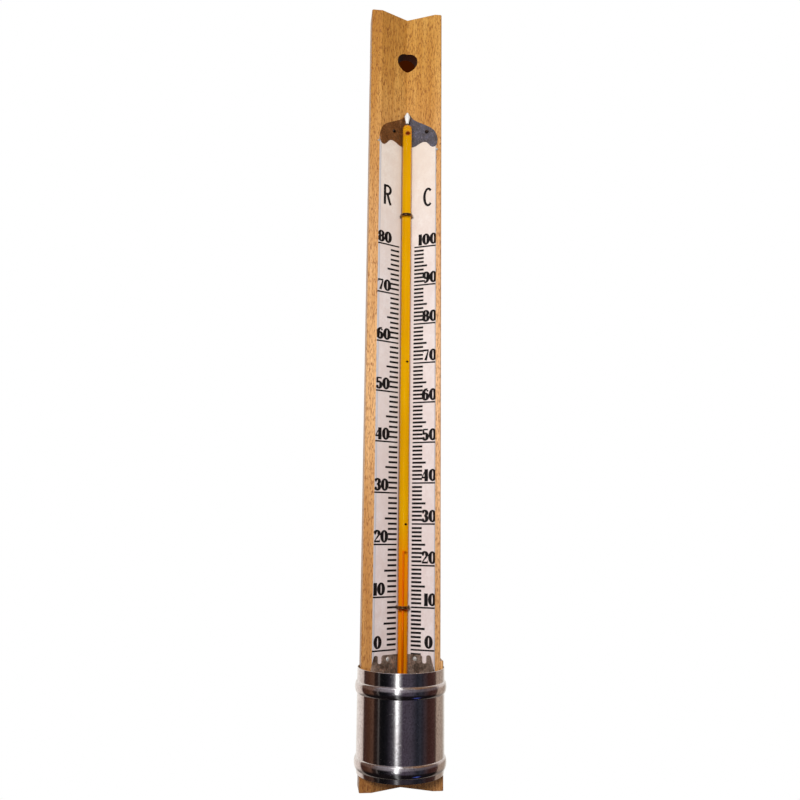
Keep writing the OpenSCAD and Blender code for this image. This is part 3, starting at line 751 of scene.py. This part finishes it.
class THERMOMETER_OT_printing(bpy.types.Operator):
    """Print the marks, the numbers and the unit letters on the strip"""

    bl_idname = "thermometer.printing"
    bl_label = "Printing"

    def execute(self, context):
        look = context.scene.print_look
        zero = STRIP_LOW.z + look.below_zero
        span = STRIP_HIGH.z - look.above_top - zero
        pitch = span / 100 - look.growth * 100

        def degree_z(t):
            return zero + pitch * t + look.growth * t * t

        bm = bmesh.new()
        for side, inner, outer, step, first, last in (
            (LEFT, look.left_inner, look.left_outer, 100 / 80, 0, 80),
            (RIGHT, look.right_inner, look.right_outer, 1.0, -1, 100),
        ):
            for mark in range(first, last + 1):
                z = degree_z(mark * step)
                reach = look.five_degrees if mark % 5 == 0 else look.one_degree
                near = inner + side * look.spread * mark / last
                end = outer if mark % 10 == 0 else near + side * reach
                wide = look.line_width if mark % 10 == 0 else look.mark_width
                bar(bm, (min(near, end), z), (max(near, end), z), wide, wide)
            for mark in range(0, last + 1, 10):
                z = degree_z(mark * step) + look.number_rise
                if side == LEFT:
                    inset = look.left_number + (look.left_zero if mark == 0 else 0)
                    numeral(bm, look, str(mark), z, left=outer + inset)
                else:
                    inset = -look.right_number + (look.right_zero if mark == 0 else 0)
                    numeral(bm, look, str(mark), z, right=outer - inset)
        letters = STRIP_HIGH.z - look.above_top + look.letter_rise
        wide = look.letter_width
        glyph(bm, UNIT_LETTERS["R"], look.left_letter, letters, wide, wide)
        glyph(bm, UNIT_LETTERS["C"], look.right_letter, letters + look.right_lift, wide, wide)
        # The numbers run up to the strip's edges and are cut off there
        cut(bm, (STRIP_LOW.x, 0, 0), (-1, 0, 0), clear=True)
        cut(bm, (STRIP_HIGH.x, 0, 0), (1, 0, 0), clear=True)
        fold_onto_strip(bm, context.scene.strip_look, look.lift)
        bmesh.ops.recalc_face_normals(bm, faces=bm.faces)
        for face in bm.faces:
            if face.normal.y > 0:
                face.normal_flip()
        piece = finish_piece("scale_print", bm, ink_material(look), smooth=False)
        body = piece.modifiers.new("ink thickness", "SOLIDIFY")
        body.thickness = look.thickness
        body.offset = 1.0
        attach(piece, BODY)
        return {"FINISHED"}


class THERMOMETER_OT_stem(bpy.types.Operator):
    """Make the glass stem, its white tip with a painted glare, and the enamel band's finish"""

    bl_idname = "thermometer.stem"
    bl_label = "Glass stem"

    def execute(self, context):
        look = context.scene.stem_look
        round_top = STEM_HIGH.z - look.tip_length
        nib_foot = round_top + look.nib_start
        shoulder = degrees(atan2(sqrt(STEM_RADIUS**2 - look.neck**2), look.neck))
        dome = arc((0, round_top - STEM_RADIUS), STEM_RADIUS, 0, shoulder, 14)
        outline = [(0, STEM_LOW.z), (STEM_RADIUS, STEM_LOW.z)]
        rings = 12
        for i in range(1, rings):
            outline.append((STEM_RADIUS, STEM_LOW.z + (dome[0][1] - STEM_LOW.z) * i / rings))
        outline += dome + [(look.neck, nib_foot), (0, nib_foot)]
        bm = bmesh.new()
        lathe(bm, outline, STEM_AXIS, 48)
        stem = finish_piece("stem_tube", bm, glass_material(look))
        stem.visible_shadow = False
        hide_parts("glass_stem")
        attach(stem, BODY)

        bead_z = STEM_HIGH.z - look.bead_drop
        steps = 10
        flame = []
        for i in range(steps + 1):
            s = i / steps
            ease = s * s * (3 - 2 * s)
            flame.append((look.neck + (look.bead - look.neck) * ease,
                          nib_foot + (bead_z - nib_foot) * s))
        for i in range(1, steps):
            s = i / steps
            flame.append((look.bead * (1 - s) ** 0.62, bead_z + (STEM_HIGH.z - bead_z) * s))
        bm = bmesh.new()
        lathe(bm, [(0, nib_foot)] + flame + [(0, STEM_HIGH.z)], STEM_AXIS, 32)
        nib = finish_piece("stem_nib", bm, nib_material(look))
        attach(nib, BODY)
        enamel = enamel_material(look)
        dress("enamel_band", enamel)

        # The enamel runs on over the back of the stem's round end
        middle = round_top - STEM_RADIUS
        reach = STEM_RADIUS - look.cap_gap
        shell = arc((0, middle), reach, 26, 80, 10)
        shell += arc((0, middle), reach - look.cap_wall, 80, 32, 10)
        bm = bmesh.new()
        lathe(bm, shell, STEM_AXIS, 48, closed=True)
        cut(bm, STEM_AXIS, (0, -1, 0), clear=True)
        bmesh.ops.holes_fill(bm, edges=bm.edges, sides=0)
        bmesh.ops.recalc_face_normals(bm, faces=bm.faces)
        end = finish_piece("enamel_end", bm, enamel)
        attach(end, BODY)
        return {"FINISHED"}


class THERMOMETER_OT_spirit(bpy.types.Operator):
    """Fill the bulb and the bore with red spirit"""

    bl_idname = "thermometer.spirit"
    bl_label = "Spirit"

    def execute(self, context):
        look = context.scene.stem_look
        red = spirit_material(look)
        dress("bulb_spirit", red)
        dress("spirit_meniscus", red)
        bulb = dress("glass_bulb", glass_material(look))
        bulb.visible_shadow = False
        radius = (COLUMN_HIGH.x - COLUMN_LOW.x) / 2
        bm = bmesh.new()
        lathe(bm, [(0, COLUMN_LOW.z), (radius, COLUMN_LOW.z), (radius, COLUMN_HIGH.z),
                   (0, COLUMN_HIGH.z)], STEM_AXIS, 24)
        column = finish_piece("spirit_thread", bm, red)
        column.visible_shadow = False
        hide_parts("spirit_column")
        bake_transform(column)
        return {"FINISHED"}


class THERMOMETER_OT_metal(bpy.types.Operator):
    """Finish the two bent plates, the nails, the brads and the wire ties"""

    bl_idname = "thermometer.metal"
    bl_label = "Plates, nails and wires"

    def execute(self, context):
        look = context.scene.plate_look
        bright = tinplate_material("dark_tinplate", look.tin, look.stain, 0.6, look.rust)
        dull = tinplate_material("dull_tinplate", look.dull, look.grime, 0.4)
        steel = steel_material("bright_steel", look.steel, 0.15, 0.45)
        rusty = steel_material("darkened_steel", look.rusty, 0.3, 1.0)
        wire = steel_material("tarnished_wire", look.wire, 0.12, 1.0)
        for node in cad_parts:
            if node.endswith("plate"):
                dress(node, bright if node.startswith("top") else dull)
            if node.startswith("top_plate") and node.endswith("nail"):
                dress(node, rusty)
            elif node.endswith(("nail", "brad")):
                dress(node, steel)
            elif node.endswith("tie"):
                dress(node, wire)
        return {"FINISHED"}


class THERMOMETER_OT_sleeve(bpy.types.Operator):
    """Make the beaded sleeve that guards the bulb"""

    bl_idname = "thermometer.sleeve"
    bl_label = "Guard sleeve"

    def execute(self, context):
        look = context.scene.sleeve_look
        outer = SLEEVE_BEAD_RADIUS - look.bead_height
        inner = outer - look.wall
        beads = (SLEEVE_LOW.z + look.lower_bead_rise, SLEEVE_HIGH.z - look.upper_bead_drop)
        steps = 30

        def side(radius, taper=0.0):
            low = SLEEVE_LOW.z + look.wall / 2
            high = SLEEVE_HIGH.z - look.wall / 2
            line = [(radius - taper, low + look.hold)]
            for z in beads:
                line.append((radius, z - look.bead_width / 2 - look.hold))
                for i in range(steps + 1):
                    a = pi * i / steps
                    line.append((radius + look.bead_height * sin(a),
                                 z - look.bead_width / 2 * cos(a)))
                line.append((radius, z + look.bead_width / 2 + look.hold))
            return line + [(radius, high - look.hold)]

        middle_radius = (outer + inner) / 2
        top = arc((middle_radius, SLEEVE_HIGH.z - look.wall / 2), look.wall / 2, 0, 180, 8)
        rim = (look.wall - look.taper) / 2
        bottom = arc((inner + rim, SLEEVE_LOW.z + rim), rim, 180, 360, 8)
        bm = bmesh.new()
        profile = side(outer, look.taper) + top + side(inner)[::-1] + bottom
        lathe(bm, profile, SLEEVE_AXIS, 160, closed=True)
        sleeve = finish_piece("guard_sleeve", bm, sleeve_material(look))
        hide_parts("bulb_sleeve")
        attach(sleeve, BODY)
        return {"FINISHED"}


# Light tones of the room that polished metal mirrors
DAYLIGHT = (1.0, 0.97, 0.92)
SHADED = (0.62, 0.5, 0.45)

# Its walls, ceiling and floor: azimuth from the camera's side in degrees, and colour
WALLS = (
    (-180, DAYLIGHT), (-122, (0.78, 0.66, 0.60)), (-114, SHADED),
    (-110, (0.055, 0.024, 0.02)), (-90, (0.075, 0.03, 0.017)), (-75, (0.11, 0.055, 0.037)),
    (-71, (0.026, 0.013, 0.01)), (-62, (0.02, 0.012, 0.011)), (-58, (0.11, 0.095, 0.09)),
    (-55, (0.006, 0.005, 0.006)), (-44, (0.004, 0.004, 0.005)), (-34, (0.009, 0.008, 0.011)),
    (-26, (0.03, 0.025, 0.034)), (-4, (0.068, 0.051, 0.073)), (26, (0.066, 0.054, 0.073)),
    (44, (0.017, 0.018, 0.026)), (52, (0.034, 0.034, 0.046)), (58, (0.025, 0.021, 0.029)),
    (67, (0.052, 0.033, 0.037)), (76, (0.043, 0.017, 0.0144)), (96, (0.07, 0.03, 0.026)),
    (103, (0.085, 0.05, 0.04)), (107, (0.39, 0.28, 0.22)), (140, (0.42, 0.33, 0.27)),
    (165, DAYLIGHT), (180, DAYLIGHT),
)
UPPER_WALLS = (
    (-180, DAYLIGHT), (-120, (0.80, 0.70, 0.64)), (-110, (0.14, 0.08, 0.06)),
    (-75, (0.16, 0.09, 0.07)), (-62, (0.16, 0.13, 0.13)), (-30, (0.28, 0.25, 0.28)),
    (-2, (0.30, 0.26, 0.30)), (30, (0.14, 0.12, 0.14)), (55, (0.11, 0.095, 0.11)),
    (75, (0.15, 0.10, 0.10)), (100, (0.15, 0.11, 0.11)), (112, SHADED),
    (180, DAYLIGHT),
)
CEILING = (
    (-180, DAYLIGHT), (-120, (0.80, 0.70, 0.64)), (-110, (0.16, 0.10, 0.08)),
    (-75, (0.16, 0.10, 0.08)), (-62, (0.28, 0.25, 0.28)), (-28, (0.34, 0.31, 0.34)),
    (-20, (0.9, 0.85, 0.86)), (4, (0.9, 0.85, 0.86)), (10, (0.30, 0.26, 0.26)),
    (36, (0.28, 0.22, 0.20)), (46, (0.26, 0.14, 0.08)), (100, (0.24, 0.14, 0.09)),
    (112, SHADED), (180, DAYLIGHT),
)
FLOOR = (
    (-180, (0.30, 0.27, 0.25)), (-115, (0.22, 0.18, 0.16)), (-105, (0.008, 0.006, 0.006)),
    (60, (0.008, 0.006, 0.008)), (105, (0.008, 0.006, 0.006)), (115, (0.2, 0.16, 0.14)),
    (180, (0.30, 0.27, 0.25)),
)
# Rises of the sight line between which one part of the room passes into the next
INTO_UPPER_WALLS = (-0.11, 0.12)
INTO_CEILING = (0.36, 0.46)
INTO_FLOOR = (-0.3, -0.5)
# Tall bright window whose image on the sleeve fades towards the floor
WINDOW = (
    (-26, 0.0), (-18, 0.08), (-14, 0.45), (-11, 2.1), (-8, 2.2), (-4, 0.7), (0, 0.2), (5, 0.0),
)
WINDOW_SILL = ((-0.34, 0.12), (-0.27, 0.32), (-0.19, 1.0), (0.5, 1.0))

# Small blue glow low down, seen in the folds under the beads
GLOW = ((36, 0.0), (49, (0.08, 0.13, 0.6)), (62, 0.0))
GLOW_RISE = ((-0.8, 0.0), (-0.7, 1.0), (-0.57, 0.0))

# Angles about the sight line through the hanging hole, between which the dark sets in
HOLE_CONE = (2.2, 1.5)


class THERMOMETER_OT_stage(bpy.types.Operator):
    """Set up the floor, the lamp, the surroundings and the camera"""

    bl_idname = "thermometer.stage"
    bl_label = "Stage"

    def execute(self, context):
        look = context.scene.stage_look
        self.add_camera(context, look)
        self.add_lamp(context, look)
        self.add_floor(context, look)
        self.set_world(context, look)
        return {"FINISHED"}

    def add_camera(self, context, look):
        yaw, pitch, roll = 6.693, 9.308, 0.561
        camera = bpy.data.objects.new("camera", bpy.data.cameras.new("camera"))
        context.scene.collection.objects.link(camera)
        camera.data.sensor_width = 36
        camera.data.lens = 36
        camera.data.shift_x = -0.0022750
        camera.data.shift_y = 0.0015375
        camera.data.clip_start = 0.01
        camera.matrix_world = (
            Matrix.Translation(look.camera)
            @ Matrix.Rotation(radians(-yaw), 4, "Z")
            @ Matrix.Rotation(radians(90 + pitch), 4, "X")
            @ Matrix.Rotation(radians(roll), 4, "Z")
        )
        context.scene.camera = camera

    def add_lamp(self, context, look):
        data = bpy.data.lights.new("soft_lamp", "AREA")
        data.size = look.lamp_size
        data.energy = look.lamp_power
        lamp = bpy.data.objects.new("soft_lamp", data)
        context.scene.collection.objects.link(lamp)
        lamp.location = look.lamp
        aim = Vector((0, BOARD_LOW.y, look.lamp.z)) - look.lamp
        lamp.rotation_euler = aim.to_track_quat("-Z", "Y").to_euler()
        lamp.visible_camera = False
        lamp.visible_transmission = False
        lamp.visible_glossy = False

    def add_floor(self, context, look):
        bm = bmesh.new()
        bmesh.ops.create_circle(bm, cap_ends=True, segments=96, radius=look.floor_radius)
        bmesh.ops.translate(bm, vec=(0, 0, BOARD_LOW.z - look.floor_drop), verts=bm.verts)
        material, tree, shader = new_material("pale_floor", Roughness=0.9)
        shader.inputs["Base Color"].default_value = opaque(look.floor_tone)
        seen = put(tree, "LightPath").outputs["Is Camera Ray"]
        pale = put(tree, "Emission", {"Color": (1, 1, 1, 1), "Strength": 1.0})
        mixed = put(tree, "MixShader", {0: times(tree, seen, look.floor_white),
                                        1: shader.outputs[0], 2: pale.outputs[0]})
        gone = fade(tree, distance(tree, (1, 1, 0)), look.floor_radius * 0.45,
                    look.floor_radius * 0.95)
        clear = put(tree, "BsdfTransparent")
        whole = put(tree, "MixShader", {0: gone, 1: mixed.outputs[0], 2: clear.outputs[0]})
        tree.links.new(whole.outputs[0], tree.nodes["Material Output"].inputs["Surface"])
        floor = finish_piece("floor", bm, material, smooth=False)
        floor.visible_glossy = False

    def set_world(self, context, look):
        world = bpy.data.worlds.new("surroundings")
        context.scene.world = world
        world.use_nodes = True
        tree = world.node_tree
        toward = put(tree, "TexCoord").outputs["Generated"]
        parts = put(tree, "SeparateXYZ", {"Vector": toward}).outputs
        camera_turn = atan2(look.camera.x, -look.camera.y)
        bearing = number(tree, "ARCTAN2", parts["X"], times(tree, parts["Y"], -1.0))
        bearing = number(tree, "WRAP", number(tree, "SUBTRACT", bearing, camera_turn), pi, -pi)
        turn = remap(tree, bearing, 0.0, 1.0, -pi, pi)

        def around(stops):
            return ramp(tree, turn, [((a + 180) / 360, tone) for a, tone in stops])

        rise = parts["Z"]
        height = remap(tree, rise, 0.0, 1.0, -1.0, 1.0)

        def upwards(stops):
            return ramp(tree, height, [((z + 1) / 2, tone) for z, tone in stops])

        wall = around(WALLS)
        for stops, limits in ((UPPER_WALLS, INTO_UPPER_WALLS), (CEILING, INTO_CEILING),
                              (FLOOR, INTO_FLOOR)):
            wall = blend_colour(tree, fade(tree, rise, *limits), wall, around(stops))
        for light, rises in ((WINDOW, WINDOW_SILL), (GLOW, GLOW_RISE)):
            shine = tint(tree, around(light), 1.0, upwards(rises))
            wall = blend_colour(tree, 1.0, wall, shine, "ADD")
        hole = Vector((0, BOARD_LOW.y, 0)) - look.camera
        close = put(tree, "VectorMath", {0: toward, 1: hole.normalized()},
                    operation="DOT_PRODUCT").outputs["Value"]
        behind = fade(tree, close, *(cos(radians(angle)) for angle in HOLE_CONE))
        backdrop = blend_colour(tree, behind, (1, 1, 1), look.behind_hole)
        path = put(tree, "LightPath").outputs
        first = number(tree, "LESS_THAN", path["Diffuse Depth"], 0.5)
        seen = blend_colour(tree, path["Is Camera Ray"], look.ambient, backdrop)
        through = blend_colour(tree, first, (0, 0, 0), (1, 1, 1))
        seen = blend_colour(tree, path["Is Transmission Ray"], seen, through)
        outside = number(tree, "SUBTRACT", 1.0, path["Is Transmission Ray"])
        mirrored = times(tree, path["Is Glossy Ray"], outside)
        seen = blend_colour(tree, mirrored, seen, wall)
        background = tree.nodes["Background"]
        tree.links.new(seen, background.inputs["Color"])
        background.inputs["Strength"].default_value = 1.0
        context.scene.view_settings.view_transform = "Standard"


STEPS = (
    THERMOMETER_OT_board,
    THERMOMETER_OT_strip,
    THERMOMETER_OT_printing,
    THERMOMETER_OT_stem,
    THERMOMETER_OT_spirit,
    THERMOMETER_OT_metal,
    THERMOMETER_OT_sleeve,
    THERMOMETER_OT_stage,
)
LOOKS = {
    "board_look": BoardLook,
    "strip_look": StripLook,
    "print_look": PrintLook,
    "stem_look": StemLook,
    "plate_look": PlateLook,
    "sleeve_look": SleeveLook,
    "stage_look": StageLook,
}


class THERMOMETER_PT_panel(bpy.types.Panel):
    """Sizes, colours and building steps of the thermometer"""

    bl_label = "Thermometer"
    bl_space_type = "VIEW_3D"
    bl_region_type = "UI"
    bl_category = "Thermometer"

    def draw(self, context):
        for name, look in LOOKS.items():
            box = self.layout.box()
            for value in look.__annotations__:
                box.prop(getattr(context.scene, name), value)
        for step in STEPS:
            self.layout.operator(step.bl_idname)


CLASSES = (*LOOKS.values(), *STEPS, THERMOMETER_PT_panel)


def register():
    for item in CLASSES:
        bpy.utils.register_class(item)
    for name, look in LOOKS.items():
        setattr(bpy.types.Scene, name, PointerProperty(type=look))


def unregister():
    for name in LOOKS:
        delattr(bpy.types.Scene, name)
    for item in reversed(CLASSES):
        bpy.utils.unregister_class(item)


def main():
    register()
    bpy.ops.thermometer.stage()
    bpy.ops.thermometer.board()
    bpy.ops.thermometer.strip()
    bpy.ops.thermometer.printing()
    bpy.ops.thermometer.stem()
    bpy.ops.thermometer.spirit()
    bpy.ops.thermometer.metal()
    bpy.ops.thermometer.sleeve()


if __name__ == "__main__":
    main()
